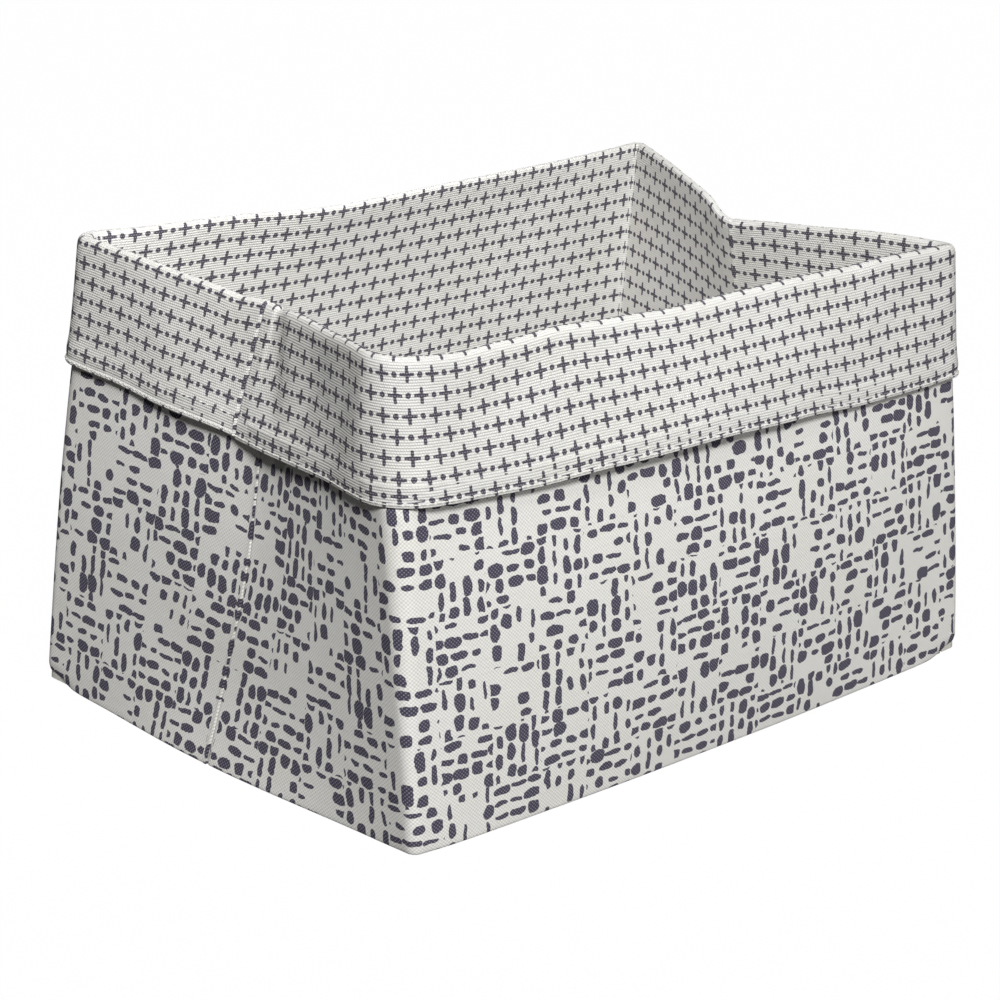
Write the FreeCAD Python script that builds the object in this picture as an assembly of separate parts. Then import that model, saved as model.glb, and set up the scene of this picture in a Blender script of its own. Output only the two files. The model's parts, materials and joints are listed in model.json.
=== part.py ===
import FreeCAD, Part
import os
from FreeCAD import Vector

# Fabric storage basket with a turned-down cuff, made of canvas over board.
# Millimetres. X runs along the long side, Z is up, the front wall is at -Y,
# and the origin is the middle of the underside.
# The basket folds flat along a seam in the middle of both ends and of the base,
# so its cloth is cut at the fold lines into panels that turn on upright hinges.

# Overall sizes
WIDTH = 350.0            # along the long side, over the cuff's hem
DEPTH = 245.0            # front to back at the corners, over the cuff's hem
HEIGHT = 210.0           # floor to rim

# Wall build-up, from the outside in
HEM_STAND = 2.0          # how far the cuff's hem stands proud of the shell
SHELL_T = 1.0            # printed canvas of the outer shell
BOARD_T = 3.2            # greyboard in the walls, felt stiffener in the ends
LINING_T = 0.8           # lining canvas
WALL_T = SHELL_T + BOARD_T + LINING_T

# Cuff
CUFF_DROP = 62.0         # rim to the hem's lower edge
CUFF_T = 0.9             # one layer of cuff canvas
CUFF_EASE = 0.2          # air between cuff and shell
HEM_H = 9.0              # height of the doubled hem
BOARD_TOP_GAP = 3.0      # board edge to the shell's top edge
BOARD_END_GAP = 1.0      # board edge to the start of the corner's curve

# The long walls swell outwards between their corners, foot and rim
BELLY = 6.5              # how far, in the middle of the wall
BELLY_HEIGHTS = (0, 55, 105, 155, HEIGHT)

# Corners and folds
CORNER_R = 12.0          # outer radius of the upright corners of the shell
SEAM_GAP = 0.3           # half the gap between two panels at a fold
FLAT_MARGIN = 8.0        # straight strip of each end panel beside its corner
PINCH_FOOT = 50.0        # the ends are straight below this height
PINCH_LEFT = 14.0        # how far the rim is drawn in at the left end's seam
PINCH_RIGHT = 36.0       # the same at the right end

# Corner strips: soft webbing that bridges each corner inside the wall
STRIP_T = 2.4
STRIP_IN = 1.4           # depth of its outer face below the shell's outer face
STRIP_SWEEP = 82.0       # degrees of the corner that it fills

# Base
BASE_CLOTH_T = 1.0
BASE_BOARD_T = 3.0
BASE_LINING_T = 0.8
BASE_T = BASE_CLOTH_T + BASE_BOARD_T + BASE_LINING_T
BASE_WALL_GAP = 1.0      # base board to the long wall's inner face
BASE_MITRE = 0.745       # how fast each base half narrows towards the centre seam
BASE_SEAM_GAP = 0.4      # half the gap between the two base halves
GUSSET_T = 1.8
GUSSET_GAP = 0.4

# Worked out from the sizes above
SHELL_X = WIDTH / 2 - HEM_STAND          # outer face of the shell at the ends
SHELL_Y = DEPTH / 2 - HEM_STAND          # outer face of the shell at front and back
PIVOT_X = SHELL_X - CORNER_R             # upright hinge lines of the four corners
PIVOT_Y = SHELL_Y - CORNER_R
SHELL_TOP = HEIGHT - CUFF_T
BOARD_TOP = SHELL_TOP - BOARD_TOP_GAP
BASE_EDGE_Y = SHELL_Y - WALL_T - BASE_WALL_GAP
BASE_EDGE_HALF = PIVOT_X - BOARD_END_GAP
BASE_SEAM_HALF = BASE_EDGE_HALF - BASE_MITRE * (BASE_EDGE_Y - BASE_SEAM_GAP)

# Upright sections of the wall layers: (distance out from the shell's face, height)
SHELL = [(0, 0), (0, SHELL_TOP), (-SHELL_T, SHELL_TOP), (-SHELL_T, BASE_CLOTH_T),
         (-WALL_T, BASE_CLOTH_T), (-WALL_T, 0)]
BOARD = [(-SHELL_T, BASE_CLOTH_T), (-SHELL_T, BOARD_TOP),
         (-SHELL_T - BOARD_T, BOARD_TOP), (-SHELL_T - BOARD_T, BASE_CLOTH_T)]
LINING = [(-SHELL_T - BOARD_T, BASE_CLOTH_T), (-SHELL_T - BOARD_T, SHELL_TOP),
          (-WALL_T, SHELL_TOP), (-WALL_T, BASE_CLOTH_T)]
CUFF = [(CUFF_EASE, SHELL_TOP), (CUFF_EASE, HEIGHT - CUFF_DROP),
        (HEM_STAND, HEIGHT - CUFF_DROP), (HEM_STAND, HEIGHT - CUFF_DROP + HEM_H),
        (CUFF_EASE + CUFF_T, HEIGHT - CUFF_DROP + HEM_H), (CUFF_EASE + CUFF_T, HEIGHT),
        (-WALL_T, HEIGHT), (-WALL_T, SHELL_TOP)]


def closed_wire(points):
    return Part.makePolygon(points + [points[0]])


def with_stops(section, heights):
    """The section with extra points where an edge passes one of the heights."""
    points = []
    for (out, z), (next_out, next_z) in zip(section, section[1:] + section[:1]):
        passed = [h for h in heights if (z - h) * (next_z - h) < 0]
        points += [(out, z)] + [(out, h) for h in sorted(passed, reverse=next_z < z)]
    return points


def swell(z):
    """Share of the belly at a height: none at foot and rim, straight between stops."""
    low = max(h for h in BELLY_HEIGHTS[:-1] if h <= z)
    high = min(h for h in BELLY_HEIGHTS if h > low)
    full = [4 * h * (HEIGHT - h) / HEIGHT ** 2 for h in (low, high)]
    return full[0] + (full[1] - full[0]) * (z - low) / (high - low)


def long_wall(section, half_length=PIVOT_X, corners=True):
    """A layer of the back wall: a swelled run and a quarter turn at each end."""
    wires = []
    for x in (-half_length, -PIVOT_X / 2, 0, PIVOT_X / 2, half_length):
        reach = abs(x) / PIVOT_X
        belly = BELLY * min(1 - reach ** 2, 1.5 * (1 - reach))   # straight between stations
        wires.append(closed_wire([Vector(x, SHELL_Y + out + belly * swell(z), z)
                                  for out, z in with_stops(section, BELLY_HEIGHTS)]))
    solid = Part.makeLoft(wires, True, True)
    if not corners:
        return solid
    end = Part.Face(closed_wire([Vector(PIVOT_X, SHELL_Y + out, z)
                                 for out, z in with_stops(section, BELLY_HEIGHTS)]))
    turn = end.revolve(Vector(PIVOT_X, PIVOT_Y, 0), Vector(0, 0, 1), -90)
    other = turn.mirror(Vector(0, 0, 0), Vector(1, 0, 0))
    return solid.fuse([turn, other]).removeSplitter()


def drawn_in(pinch, along, z):
    """How far a point of an end panel is drawn in, along being from its corner."""
    reach = max(0.0, along - FLAT_MARGIN) / (PIVOT_Y - FLAT_MARGIN)
    return pinch * reach * max(0.0, z - PINCH_FOOT) / (HEIGHT - PINCH_FOOT)


def end_panel(section, pinch, start=SEAM_GAP):
    """A layer of the left end's rear half, from its corner to the centre seam."""
    stops = [start] + ([FLAT_MARGIN] if start < FLAT_MARGIN else [])
    stops.append(PIVOT_Y - SEAM_GAP)
    wires = [closed_wire([Vector(-SHELL_X - out + drawn_in(pinch, along, z),
                                 PIVOT_Y - along, z)
                          for out, z in with_stops(section, [PINCH_FOOT])])
             for along in stops]
    return Part.makeLoft(wires, True, True)


def corner_strip():
    """Webbing fixed to an end panel that runs round inside the corner."""
    outer = CORNER_R - STRIP_IN
    z0, z1 = BASE_CLOTH_T + SEAM_GAP, BOARD_TOP
    section = Part.Face(closed_wire([Vector(-PIVOT_X - r, PIVOT_Y, z)
                                     for r, z in ((outer, z0), (outer, z1),
                                                  (outer - STRIP_T, z1),
                                                  (outer - STRIP_T, z0))]))
    turn = section.revolve(Vector(-PIVOT_X, PIVOT_Y, 0), Vector(0, 0, 1), -STRIP_SWEEP)
    tab = Part.makeBox(STRIP_T, FLAT_MARGIN - SEAM_GAP, z1 - z0,
                       Vector(-PIVOT_X - outer, PIVOT_Y - FLAT_MARGIN + SEAM_GAP, z0))
    return turn.fuse(tab).removeSplitter()


def base_layer(z, thickness):
    """One layer of the rear half of the base, mitred to clear the folding ends."""
    outline = [Vector(-BASE_EDGE_HALF, BASE_EDGE_Y, z), Vector(BASE_EDGE_HALF, BASE_EDGE_Y, z),
               Vector(BASE_SEAM_HALF, BASE_SEAM_GAP, z), Vector(-BASE_SEAM_HALF, BASE_SEAM_GAP, z)]
    return Part.Face(closed_wire(outline)).extrude(Vector(0, 0, thickness))


def gusset():
    """Soft three-cornered cloth between the base and the left end's rear half."""
    inner = -SHELL_X + WALL_T + GUSSET_GAP
    edge = BASE_EDGE_HALF + GUSSET_GAP
    round_in = (CORNER_R - WALL_T - 2 * GUSSET_GAP) / 2 ** 0.5
    outline = [Vector(inner, BASE_SEAM_GAP, 0),
               Vector(-BASE_SEAM_HALF - GUSSET_GAP, BASE_SEAM_GAP, 0),
               Vector(-edge, BASE_EDGE_Y - GUSSET_GAP, 0),
               Vector(-PIVOT_X - round_in, PIVOT_Y + round_in, 0),
               Vector(inner, PIVOT_Y, 0)]
    return Part.Face(closed_wire(outline)).extrude(Vector(0, 0, GUSSET_T))


def flip_x(shape):
    return shape.mirror(Vector(0, 0, 0), Vector(1, 0, 0))


def flip_y(shape):
    return shape.mirror(Vector(0, 0, 0), Vector(0, 1, 0))


def rear_panels():
    """Every node of the rear half, by name."""
    nodes = {
        "rear_shell": long_wall(SHELL),
        "rear_board": long_wall(BOARD, PIVOT_X - BOARD_END_GAP, corners=False),
        "rear_lining": long_wall(LINING),
        "rear_cuff": long_wall(CUFF),
        "base_rear_cloth": base_layer(0, BASE_CLOTH_T),
        "base_rear_board": base_layer(BASE_CLOTH_T, BASE_BOARD_T),
        "base_rear_lining": base_layer(BASE_CLOTH_T + BASE_BOARD_T, BASE_LINING_T),
    }
    for side, pinch in (("left", PINCH_LEFT), ("right", PINCH_RIGHT)):
        panel = {
            "shell": end_panel(SHELL, pinch),
            "stiffener": end_panel(BOARD, pinch, FLAT_MARGIN + SEAM_GAP),
            "lining": end_panel(LINING, pinch),
            "cuff": end_panel(CUFF, pinch),
            "corner_strip": corner_strip(),
            "gusset": gusset(),
        }
        for layer, shape in panel.items():
            nodes[f"{side}_rear_{layer}"] = flip_x(shape) if side == "right" else shape
    return nodes


def all_nodes():
    nodes = rear_panels()
    for name, shape in list(nodes.items()):
        nodes[name.replace("rear", "front")] = flip_y(shape)
    return nodes


os.makedirs("parts", exist_ok=True)
whole = FreeCAD.BoundBox()
for name, shape in all_nodes().items():
    solid = shape.Solids[0]
    if not solid.isValid() or solid.Volume <= 0 or len(shape.Solids) != 1:
        raise ValueError(f"{name} is not one sound solid")
    whole.add(solid.BoundBox)
    solid.exportStep(f"parts/{name}.step")
    print(name, round(solid.Volume / 1000, 2), "cm3")
print("size", [round(v, 2) for v in (whole.XLength, whole.YLength, whole.ZLength)],
      "lowest", round(whole.ZMin, 3))
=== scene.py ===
# %% [markdown]
# # A fabric storage basket with a turned-down cuff
# The real thing is sewn from two canvases. A printed canvas makes the outside, and a second, finely dotted one
# lines the inside, comes over the rim and hangs down outside as a cuff. Boards stand between them in the long walls.
# Every piece here is placed in the frame of the CAD model, so the first cell loads that model and keeps its size.

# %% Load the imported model
import json
import math

import bmesh
import bpy
import numpy as np
from mathutils import Matrix, Vector


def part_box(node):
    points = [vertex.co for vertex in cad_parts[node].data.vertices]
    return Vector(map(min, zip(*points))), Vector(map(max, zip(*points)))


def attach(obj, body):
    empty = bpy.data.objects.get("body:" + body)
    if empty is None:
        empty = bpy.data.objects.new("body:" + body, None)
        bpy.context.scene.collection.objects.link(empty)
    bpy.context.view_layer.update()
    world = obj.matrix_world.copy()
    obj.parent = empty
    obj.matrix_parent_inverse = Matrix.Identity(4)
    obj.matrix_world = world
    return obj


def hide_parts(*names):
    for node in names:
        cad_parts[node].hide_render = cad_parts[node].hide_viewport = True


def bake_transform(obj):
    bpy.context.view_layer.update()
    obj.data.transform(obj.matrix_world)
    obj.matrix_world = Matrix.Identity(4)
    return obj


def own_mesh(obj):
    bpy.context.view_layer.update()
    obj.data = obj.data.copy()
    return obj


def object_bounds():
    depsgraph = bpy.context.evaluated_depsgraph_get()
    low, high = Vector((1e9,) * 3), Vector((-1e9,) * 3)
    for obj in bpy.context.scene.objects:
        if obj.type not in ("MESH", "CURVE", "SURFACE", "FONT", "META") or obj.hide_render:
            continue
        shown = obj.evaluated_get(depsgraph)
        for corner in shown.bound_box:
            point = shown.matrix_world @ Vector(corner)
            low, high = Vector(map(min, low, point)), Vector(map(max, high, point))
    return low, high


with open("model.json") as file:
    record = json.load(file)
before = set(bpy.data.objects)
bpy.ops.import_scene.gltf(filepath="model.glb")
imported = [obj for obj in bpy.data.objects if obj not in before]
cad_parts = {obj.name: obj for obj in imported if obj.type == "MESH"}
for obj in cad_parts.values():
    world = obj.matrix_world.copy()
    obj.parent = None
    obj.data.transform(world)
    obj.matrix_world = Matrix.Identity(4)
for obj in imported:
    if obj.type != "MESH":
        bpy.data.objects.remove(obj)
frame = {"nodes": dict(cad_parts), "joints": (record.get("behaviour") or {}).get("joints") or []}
cad_low, cad_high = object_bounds()
print("CAD box", [round(v, 4) for v in cad_low], [round(v, 4) for v in cad_high])

# %% [markdown]
# ## The camera
# A long lens stands a metre and a half away, a little above the rim, and sees the left end and the front.
# Its place, lens and small shift were worked out from the straight edges of the basket, so that the corners of the
# model land on the corners in the picture. A camera is an object whose -Z looks forward, so its turn is written
# here as three axes: right, up and back.

# %% Set up the camera
CAMERA_SPOT = Vector((-0.9799, -1.0297, 0.5949))
CAMERA_TURN = (-42.814, 19.650, 1.245)          # yaw, pitch and roll, degrees
CAMERA_LENS, CAMERA_SHIFT = 118.3, (0.0199, -0.0127)


def look_axes(yaw, pitch, roll):
    back = Vector((math.sin(yaw) * math.cos(pitch), -math.cos(yaw) * math.cos(pitch), math.sin(pitch)))
    right = Vector((0, 0, 1)).cross(back).normalized()
    up = back.cross(right)
    return (right * math.cos(roll) + up * math.sin(roll),
            up * math.cos(roll) - right * math.sin(roll), back)


def put(name, data):
    made = bpy.data.objects.new(name, data)
    bpy.context.scene.collection.objects.link(made)
    return made


studio_camera = put("studio_camera", bpy.data.cameras.new("studio_camera"))
turn = Matrix(look_axes(*map(math.radians, CAMERA_TURN))).transposed().to_4x4()
studio_camera.matrix_world = Matrix.Translation(CAMERA_SPOT) @ turn
lens = studio_camera.data
lens.lens, lens.sensor_width, lens.clip_end = CAMERA_LENS, 36, 20
lens.shift_x, lens.shift_y = CAMERA_SHIFT
bpy.context.scene.camera = studio_camera
print("camera stands", round(CAMERA_SPOT.length, 2), "m away")

# %% [markdown]
# ## Sizes of the walls
# The shell's faces and the rim come from the CAD model, so the cloth starts where the solids are. A distance
# called `out` is counted from the shell's outer face: 0 is that face, minus is into the wall, plus is outside it.

# %% Read the walls from the CAD model
RIM_Z, HEM_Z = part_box("rear_cuff")[1].z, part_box("rear_cuff")[0].z
corner_hinge = {joint["name"]: joint["pos_m"] for joint in frame["joints"]}["right_rear_corner"]
CORNER_R = 0.012                                # the shell's corner turns round its hinge
SHELL_X, SHELL_Y = corner_hinge[0] + CORNER_R, corner_hinge[1] + CORNER_R
HALF_X = cad_high.x
HALF_Y = SHELL_Y + HALF_X - SHELL_X             # over the hem, at the corners
ZONE = 0.024                                    # a corner's own stretch of each wall
ZONE_CLOTH = 2 * (ZONE - CORNER_R) + math.pi / 2 * CORNER_R
WALL_HALF, END_HALF = SHELL_X - ZONE, SHELL_Y - ZONE
CORNER_END = WALL_HALF + ZONE_CLOTH
CLOTH_HALF = CORNER_END + END_HALF              # middle of a long wall to the seam in the end
print("cloth from seam to seam", round(2 * CLOTH_HALF, 3), "m, rim at", round(RIM_Z, 3))

# %% [markdown]
# ## From flat cloth to a straight basket
# Cloth is cut flat, so each piece is made flat first: x runs along the cloth, y up it and z out of it. The flat
# layout is also what the print follows. This function bends the flat strip round a straight basket, whose corners
# are tight at the foot and round under the cuff. Doing it as a formula keeps thread lengths true, which a pull with
# a lattice would not.

# %% Bend a flat strip round the straight basket
FOOT_RADIUS, SHELL_RADIUS = 0.0045, 0.0115      # the shell's, at the foot and under the hem
RIM_RADIUS = {("left", "rear"): 0.013, ("left", "front"): 0.0235, ("right", "rear"): 0.0075, ("right", "front"): 0.011}


def round_the_corner(along, out, z, part):
    run, side = np.abs(along), np.where(along < 0, -1.0, 1.0)
    rim_radius = np.where(along < 0, RIM_RADIUS["left", part], RIM_RADIUS["right", part])
    r = FOOT_RADIUS + np.clip(z / HEM_Z, 0, 1) ** 2 * (np.minimum(SHELL_RADIUS, rim_radius) - FOOT_RADIUS)
    r = r + np.clip((z - HEM_Z - 0.001) / 0.006, 0, 1) * (rim_radius - r)
    r = np.where(out > 0.0006, rim_radius, r)   # the cuff hangs round outside the shell's tight corner
    r = np.maximum(r, 0.0015 - out)             # an inner layer turns no tighter than its own fold
    straight, arc = ZONE - r, math.pi / 2 * r
    q = (run - WALL_HALF) / ZONE_CLOTH * (2 * straight + arc)
    turned = np.clip((q - straight) / r, 0, math.pi / 2)
    reach = np.maximum(r + out, 0.0005)
    x = SHELL_X - r + reach * np.sin(turned)
    x = np.where(q < straight, WALL_HALF + q, x)
    x = np.where(run < WALL_HALF, run, x)
    y = SHELL_Y - r + reach * np.cos(turned)
    y = np.where(q > straight + arc, SHELL_Y - r - (q - straight - arc), y)
    y = np.where(run > CORNER_END, END_HALF - (run - CORNER_END), y)
    return x * side, y * (1 if part == "rear" else -1)


print("corner radius", FOOT_RADIUS, "at the foot and", RIM_RADIUS["left", "front"], "at the front left rim")

# %% [markdown]
# ## How the used basket stands
# A fabric basket is never a true box. Its rim corners lean, the long walls bow a little, and both ends are drawn
# in at their middle seam. One smooth field moves every point of every layer, so cloth, boards and stitches stay
# together. The numbers are millimetres, read from the outlines in the picture.

# %% Let the basket settle
MM = 0.001
RIM_LEAN = {("left", "front"): (-5.3, 13.5, -1.0), ("right", "front"): (-12.8, 1.5, -9.5),
            ("right", "rear"): (0.8, -18.2, -5.2), ("left", "rear"): (10.3, 4.3, -0.3)}
FOOT_SHIFT = {("left", "front"): (-0.3, -3.4), ("right", "front"): (2.2, -0.5),
              ("right", "rear"): (0.0, 0.0), ("left", "rear"): (-6.8, 5.6)}
FRONT_BOW = (-4.6, -7.4, 1.4, -2.1)             # at the foot, at the hem, at the rim, and a slight S
REAR_BOW = (14.6, 3.1, 6.0)                     # in at the rim, a slight S, and the belly below
RIM_SAG = -2.4                                  # of the rear rim
DRAWN_IN = {"left": (20.9, 1.57), "right": (31.7, 0.81)}
VALLEY = {"left": -3.3, "right": 2.0}
ROUNDED = {"left": (0.0, 0.0), "right": (0.12, 0.44)}   # how bellied the rear and front half are
SEAM_DIP = {"left": -6.3, "right": -9.7}
FOOT_BULGE, BULGE_HALF, SLIP_HALF = 5.2, 0.11, 0.095    # of the left end, and how far along it they reach
VALLEY_TIP = 0.07                               # how blunt the fold at an end's seam is


def valley_shape(y, side):
    low = VALLEY[side] * MM
    t = np.clip(np.where(y < low, (y + HALF_Y) / (low + HALF_Y), (HALF_Y - y) / (HALF_Y - low)), 0, 1)
    tip = VALLEY_TIP
    roof = 1 - (np.sqrt((1 - t) ** 2 + tip * tip) - tip) / (math.sqrt(1 + tip * tip) - tip)
    belly = np.where(y > low, ROUNDED[side][0], ROUNDED[side][1])
    return (1 - belly) * roof + belly * np.sin(math.pi / 2 * t)


def ease(t):
    t = np.clip(t, 0, 1)
    return t * t * (3 - 2 * t)


def settle(x, y, z, seam_slip=0.0):
    a, b, t = x / HALF_X, y / HALF_Y, np.clip(z / RIM_Z, 0, 1)
    right, left, swell = (1 + a) / 2, (1 - a) / 2, 1 - np.clip(a * a, 0, 1)
    rear, front = np.clip(b, 0, 1), np.clip(-b, 0, 1)
    dx, dy, dz = 0 * x, 0 * x, 0 * x
    for (side, part), (lean_x, lean_y, lean_z) in RIM_LEAN.items():
        foot_x, foot_y = FOOT_SHIFT[side, part]
        beside = right if side == "right" else left
        share = beside * ((1 + b) / 2 if part == "rear" else (1 - b) / 2)
        dx = dx + share * (lean_x * t + foot_x * (1 - t))
        dy = dy + beside * (rear if part == "rear" else front) * (lean_y * t + foot_y * (1 - t))
        dz = dz + share * lean_z * t
    hem = HEM_Z / RIM_Z
    foot_bow, hem_bow, rim_bow, s_bow = FRONT_BOW
    bow = (foot_bow * (t - hem) * (t - 1) / hem + hem_bow * t * (t - 1) / (hem * (hem - 1))
           + rim_bow * t * (t - hem) / (1 - hem))
    wave = np.sin(2 * math.pi * right)
    dy = dy + front * (swell * bow + s_bow * wave * t * t) - rear * (swell * REAR_BOW[0] + REAR_BOW[1] * wave) * t ** 3
    dy = dy + rear * swell * REAR_BOW[2] * 4 * t * (1 - t)
    dz = dz + swell * (rear * RIM_SAG) * t * t
    dy = dy + seam_slip / MM * ease(1 - np.abs(y) / SLIP_HALF) * left
    for side, beside, inward in (("left", left, 1), ("right", right, -1)):
        depth, power = DRAWN_IN[side]
        shape = valley_shape(y, side)
        dx = dx + inward * beside * depth * np.maximum(t, 1e-6) ** power * shape
        dz = dz + beside * SEAM_DIP[side] * shape ** 3 * t * t
    dx = dx - FOOT_BULGE * left * np.clip(1 - 4 * t, 0, 1) ** 2 * ease(1 - np.abs(y) / BULGE_HALF)
    return x + dx * MM, y + dy * MM, z + dz * MM


spot = settle(np.array([-SHELL_X]), np.array([0.0]), np.array([RIM_Z]))
print("left end is drawn in to x", round(float(spot[0][0]), 4))

# %% [markdown]
# ## Profiles: the way a layer runs up and over the wall
# Seen from the side, each layer is one line of (out, height) points in millimetres. The lining's line starts
# inside the folded hem, goes up the cuff, over the rim, and down inside to the base. A few rounds of cutting the
# corners off the line turn it into soft bends, the same as a subdivision curve does.

# %% Soften a profile and measure along it
class Profile:
    def __init__(self, points, rounds=3, gap=0.003):
        line = np.array(points, float) * MM
        for _ in range(rounds):
            cut = np.empty((2 * len(line), 2))
            cut[0], cut[-1] = line[0], line[-1]
            cut[1:-1:2] = line[:-1] * 0.75 + line[1:] * 0.25
            cut[2:-1:2] = line[:-1] * 0.25 + line[1:] * 0.75
            line = cut
        keep = np.r_[True, np.hypot(*np.diff(line, axis=0).T) > 1e-6]
        self.line = line[keep]
        steps = np.hypot(*np.diff(self.line, axis=0).T)
        self.at = np.r_[0, np.cumsum(steps)]
        self.length = self.at[-1]
        rows = [0.0]
        for start, step in zip(self.at, steps):
            pieces = max(1, math.ceil(step / gap))
            rows += [start + step * (i + 1) / pieces for i in range(pieces)]
        thinned = [rows[0]]
        for row in rows[1:]:
            if row - thinned[-1] > 0.00035 or row == rows[-1]:
                thinned.append(row)
        self.rows = thinned

    def point(self, v):
        return np.interp(v, self.at, self.line[:, 0]), np.interp(v, self.at, self.line[:, 1])

    def side(self, v):
        """Unit direction out of the cloth's printed face."""
        o1, z1 = self.point(np.clip(v + 0.0002, 0, self.length))
        o0, z0 = self.point(np.clip(v - 0.0002, 0, self.length))
        size = np.hypot(o1 - o0, z1 - z0) + 1e-12
        return (z1 - z0) / size, -(o1 - o0) / size


SHELL_PROFILE = Profile([(-5.4, 0.05), (-1.6, 0.05), (-0.4, 0.1), (-0.05, 0.9), (0, 3), (0, 60), (0, 140),
                         (0, 203), (-0.1, 207), (-0.6, 208.8)])
CUFF_PROFILE = Profile([(0.9, 157.5), (0.9, 152), (0.9, 149.3), (1.2, 148.45), (1.9, 148.4), (2.35, 149.0),
                        (2.3, 150.2), (1.75, 151.3), (2.15, 152.6), (2.1, 156), (1.7, 159), (1.4, 165),
                        (1.25, 185), (1.2, 203), (1.15, 207.4), (0.1, 209.8), (-1.9, 210.05), (-4.1, 209.6),
                        (-4.95, 206.5), (-5.0, 201), (-5.0, 150), (-5.0, 60), (-5.0, 10), (-5.05, 6.6),
                        (-5.4, 5.6), (-6.3, 5.5)])
print("shell cut is", round(SHELL_PROFILE.length, 4), "m high, lining and cuff", round(CUFF_PROFILE.length, 4), "m")
RIM_TOP = CUFF_PROFILE.at[np.argmax(CUFF_PROFILE.line[:, 1])]
HEM_EDGE = CUFF_PROFILE.at[np.argmin(np.where(CUFF_PROFILE.at < RIM_TOP, CUFF_PROFILE.line[:, 1], 1))]

# %% [markdown]
# ## Laying the cloth on the basket
# A real cloth is never quite smooth over a board, so a few long, shallow waves are added as sums of sines. They
# depend only on the place in the cloth, so two pieces that meet share the same waves. At the seams in the ends the
# cloth turns in and leaves a groove. In front of the left seam the seam allowance makes a tuck and a pleat that
# A few hollows and swells are placed where the picture shows them.

# %% Lay flat points on the basket
SEAM_SLIP = {"shell": ([0, 10, 30, 50, 75, 100, 120, 148, 210], [4, 3, 0.5, -2.5, -7, -9.5, -9.5, -9, -6]),
             "cuff": ([148, 165, 180, 195, 209], [5, 5, 3, 1.5, 0]),
             "lining": ([0, 120, 209], [0, -2, 0])}       # height and sideways slip, millimetres
RNG = np.random.default_rng(7)
WAVES = [(RNG.uniform(20, 95), RNG.uniform(10, 70), RNG.uniform(0, 6.28), 1 / (1 + i / 3)) for i in range(9)]
WAVE_HEIGHT = {"shell": 0.00025, "cuff": 0.00040}
FOOT_ROUND, FOOT_LIFT = 0.0060, 0.0030          # how far the worn foot corners go in and up
ROUND_HALF, ROUND_TO, ROUND_NEAR = 0.012, 0.010, 0.12   # along, height, and share at the other two


def waves(u, v, shift=0.0):
    total = sum(size * np.sin(a * u + b * v * (1 if i % 2 else -1) + phase + shift)
                for i, (a, b, phase, size) in enumerate(WAVES))
    return total / sum(w[3] for w in WAVES)


def bell(x, width):
    return np.exp(-(x / width) ** 2)


def seam_relief(u, v, part, layer):
    """How far the sewing lifts the cloth at the seams in the ends: a groove, and folds beside it."""
    near = CLOTH_HALF - np.abs(u)
    if layer == "shell":
        opening = -0.0022 * bell(near, 0.0013) * np.clip(1 - v / 0.014, 0, 1)
        if part == "rear":
            return 0.0003 * ease(1 - near / 0.0018) - 0.0002 * bell(near, 0.0004)
        return opening - 0.0008 * bell(near, 0.0008)
    up = np.clip((v - HEM_EDGE) / (RIM_TOP - HEM_EDGE), 0, 1)
    outside, left = v < RIM_TOP + 0.004, u < 0
    groove = -0.0013 * bell(near, 0.0007)
    if part == "rear":
        return np.where(outside, groove, groove * 0.6)
    centre, width = 0.0135 + 0.014 * (1 - up), 0.0050 + 0.0055 * (1 - up)
    tuck = 0.0008 * ease(near / 0.0016) * (1 - ease((near - 0.0080) / 0.004)) * (0.3 + 0.7 * up)
    deep = 0.0008 + 0.0014 * up * (1 - up) * 4
    valley = -deep * bell(near - centre, width) * ease((v - HEM_EDGE) / 0.02)
    pleat = valley - 0.0004 * bell(near - 0.0103, 0.0009) * ease((up - 0.25) / 0.6)
    ridge = 0.0007 * ease(1 - near / 0.0030)
    inner_tuck = 0.0007 * (1 - ease((near - 0.015) / 0.003)) * bell(v - RIM_TOP, 0.02)
    return np.where(left & outside, groove + tuck + pleat, np.where(outside, groove, ridge + inner_tuck))


DENTS = [                                       # part, along and height on the cloth, depth, length, width, slant
    ("front", -238, 28, -2.2, 26, 10, 62), ("front", -196, 22, 1.6, 30, 9, 70), ("front", -120, 40, -0.8, 40, 14, 20),
    ("front", 30, 20, 0.9, 60, 14, 8), ("front", 140, 45, -0.7, 30, 12, 40), ("rear", -235, 30, 0.9, 34, 14, 80)]


def cuff_dents(u, v, part):
    """Soft hollows and swells of the cuff, placed where the picture shows them."""
    total = 0 * u
    for where, along, height, depth, length, width, slant in DENTS:
        if where == part:
            a, b = u / MM - along, (v - HEM_EDGE) / MM - height
            turn = math.radians(slant)
            run, side = a * math.cos(turn) + b * math.sin(turn), b * math.cos(turn) - a * math.sin(turn)
            total = total + depth * MM * np.exp(-(run / length) ** 2 - (side / width) ** 2)
    return total * ease((RIM_TOP - v) / 0.02)


FLARE = {"front": (3.0, -20, 95, 0.9), "rear": (0.0, 0, 1, 0.8), "end": (3.0, 262, 30, 0.6),
         "front_left": (2.9, -168, 26, 0.0)}    # at its strongest, where, how wide, and everywhere, millimetres


def hem_flare(u, part):
    """How far the cuff's hem stands away from the shell beyond the CAD model's cuff."""
    def stand(where, along):
        most, centre, width, base = FLARE[where]
        return most * bell(along / MM - centre, width) + base

    flare = np.where(np.abs(u) < WALL_HALF, stand(part, u), stand("end", np.abs(u)))
    return MM * (flare + stand("front_left", u) if part == "front" else flare)


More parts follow.
